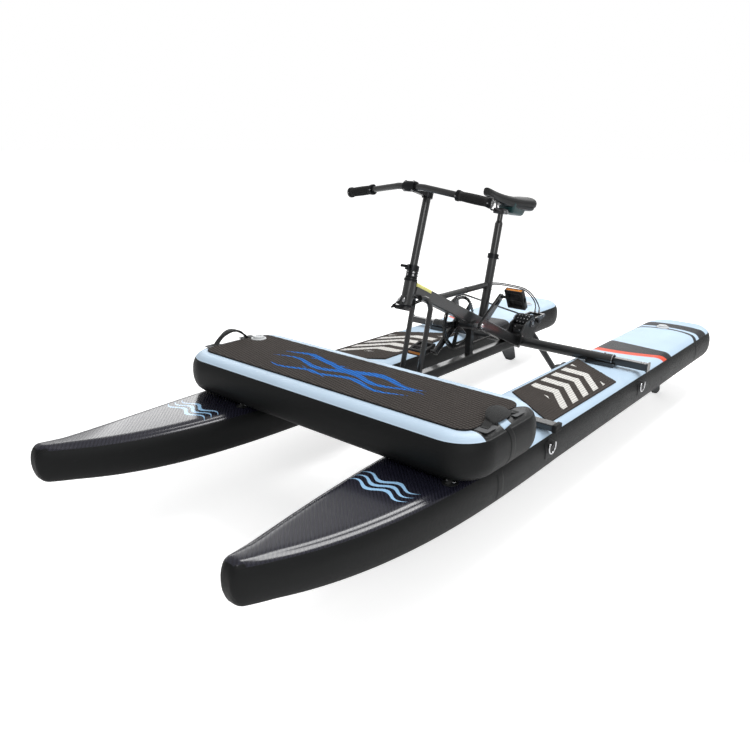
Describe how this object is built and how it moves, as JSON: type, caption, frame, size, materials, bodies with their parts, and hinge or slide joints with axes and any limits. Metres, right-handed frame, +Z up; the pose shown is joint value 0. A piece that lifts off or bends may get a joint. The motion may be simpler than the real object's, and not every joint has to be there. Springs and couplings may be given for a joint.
{
  "type": "water bike",
  "caption": "Pedal-driven water bike: inflatable twin hulls with a bench across the bows, a bicycle frame with saddle and handlebar, and a tilting propeller leg.",
  "frame": {"origin": "floor point under the middle of the object, where the fin tips stand", "axes": "+Z up, -Y towards the bows, +X towards the port hull"},
  "size_m": [1.269, 3.0684, 1.0832],
  "materials": {
    "rail_black": "matte coated PVC",
    "deck_blue": "satin coated PVC",
    "pad_brown": "grooved foam",
    "webbing": "woven webbing",
    "valve_white": "satin",
    "fin_black": "satin",
    "frame_black": "powder coat, satin",
    "chrome": "polished",
    "rubber": "matte",
    "steel": "satin",
    "plastic": "matte",
    "alloy_black": "black anodised"
  },
  "bodies": {
    "boat": {"bench": "deck_blue", "bench_pad": "pad_brown", "bench_valve": "valve_white", "centre_strut": "frame_black", "chain": "steel", "drive_bracket": "frame_black", "front_crossbar": "frame_black", "head_tube": "frame_black", "keel_rail": "frame_black", "main_beam": "frame_black", "port_bench_handle": "webbing", "port_bench_riser": "rubber", "port_crossbar_end": "frame_black", "port_deck_pad": "pad_brown", "port_fin": "fin_black", "port_front_d_ring": "chrome", "port_front_leg": "frame_black", "port_hull": "rail_black", "port_hull_valve": "valve_white", "port_rear_d_ring": "chrome", "rear_crossbar": "frame_black", "seat_collar": "alloy_black", "seat_tube": "frame_black", "starboard_bench_handle": "webbing", "starboard_bench_riser": "rubber", "starboard_crossbar_end": "frame_black", "starboard_deck_pad": "pad_brown", "starboard_fin": "fin_black", "starboard_front_d_ring": "chrome", "starboard_front_leg": "frame_black", "starboard_hull": "rail_black", "starboard_hull_valve": "valve_white", "starboard_rear_d_ring": "chrome", "steering_cable_1": "rubber", "steering_cable_2": "rubber", "top_tube": "frame_black"},
    "steering_head": {"steerer": "frame_black", "column_collar": "alloy_black"},
    "column_lever": {"column_lever": "alloy_black"},
    "handlebar": {"handlebar_column": "frame_black", "stem": "alloy_black", "handlebar": "frame_black", "port_grip": "rubber", "starboard_grip": "rubber"},
    "seat": {"seatpost": "frame_black", "saddle_rails": "steel", "saddle": "rubber"},
    "seat_lever": {"seat_lever": "alloy_black"},
    "crankset": {"crank_spindle": "steel", "port_crank": "alloy_black", "starboard_crank": "alloy_black", "chainring": "alloy_black"},
    "port_pedal": {"port_pedal": "plastic"},
    "starboard_pedal": {"starboard_pedal": "plastic"},
    "sprocket": {"sprocket": "steel"},
    "gearbox": {"gearbox": "alloy_black"},
    "drive_leg": {"drive_leg": "alloy_black", "leg_foot": "alloy_black"},
    "propeller": {"propeller": "plastic"}
  },
  "joints": [
    {"name": "steering", "type": "hinge", "parent": "boat", "child": "steering_head", "pos_m": [0, -0.3635, 0.65], "axis": [0, 0.2756, 0.9613], "range_deg": [-45, 45]},
    {"name": "bar_height", "type": "slide", "parent": "steering_head", "child": "handlebar", "axis": [0, 0.2756, 0.9613], "range_m": [-0.05, 0.03]},
    {"name": "column_lever_turn", "type": "hinge", "parent": "steering_head", "child": "column_lever", "pos_m": [0, -0.35756, 0.78354], "axis": [0, 0.2756, 0.9613], "range_deg": [0, 95]},
    {"name": "seat_height", "type": "slide", "parent": "boat", "child": "seat", "axis": [0, 0.2113, 0.9774], "range_m": [-0.11, 0.05]},
    {"name": "seat_lever_turn", "type": "hinge", "parent": "boat", "child": "seat_lever", "pos_m": [0, 0.25267, 0.7508], "axis": [0, 0.2113, 0.9774], "range_deg": [-95, 0]},
    {"name": "crank_turn", "type": "hinge", "parent": "boat", "child": "crankset", "pos_m": [0, 0.066, 0.509], "axis": [1, 0, 0], "continuous": true},
    {"name": "port_pedal_turn", "type": "hinge", "parent": "crankset", "child": "port_pedal", "pos_m": [0.128, 0.20935, 0.60938], "axis": [1, 0, 0], "continuous": true},
    {"name": "starboard_pedal_turn", "type": "hinge", "parent": "crankset", "child": "starboard_pedal", "pos_m": [-0.128, -0.07735, 0.40862], "axis": [1, 0, 0], "continuous": true},
    {"name": "sprocket_turn", "type": "hinge", "parent": "boat", "child": "sprocket", "pos_m": [0, 0.548, 0.43], "axis": [1, 0, 0], "continuous": true},
    {"name": "leg_tilt", "type": "hinge", "parent": "boat", "child": "gearbox", "pos_m": [0, 0.548, 0.43], "axis": [1, 0, 0], "range_deg": [-49, 30]},
    {"name": "leg_steer", "type": "hinge", "parent": "gearbox", "child": "drive_leg", "pos_m": [0, 0.548, 0.43], "axis": [0, 0.7547, -0.6561], "range_deg": [-45, 45]},
    {"name": "propeller_turn", "type": "hinge", "parent": "drive_leg", "child": "propeller", "pos_m": [0, 0.98196, 0.05277], "axis": [0, 0.6561, 0.7547], "continuous": true}
  ],
  "couplings": [
    {"joint": "sprocket_turn", "follows": "crank_turn", "ratio": 3.8571},
    {"joint": "propeller_turn", "follows": "crank_turn", "ratio": -7.7143},
    {"joint": "leg_steer", "follows": "steering", "ratio": 1}
  ]
}
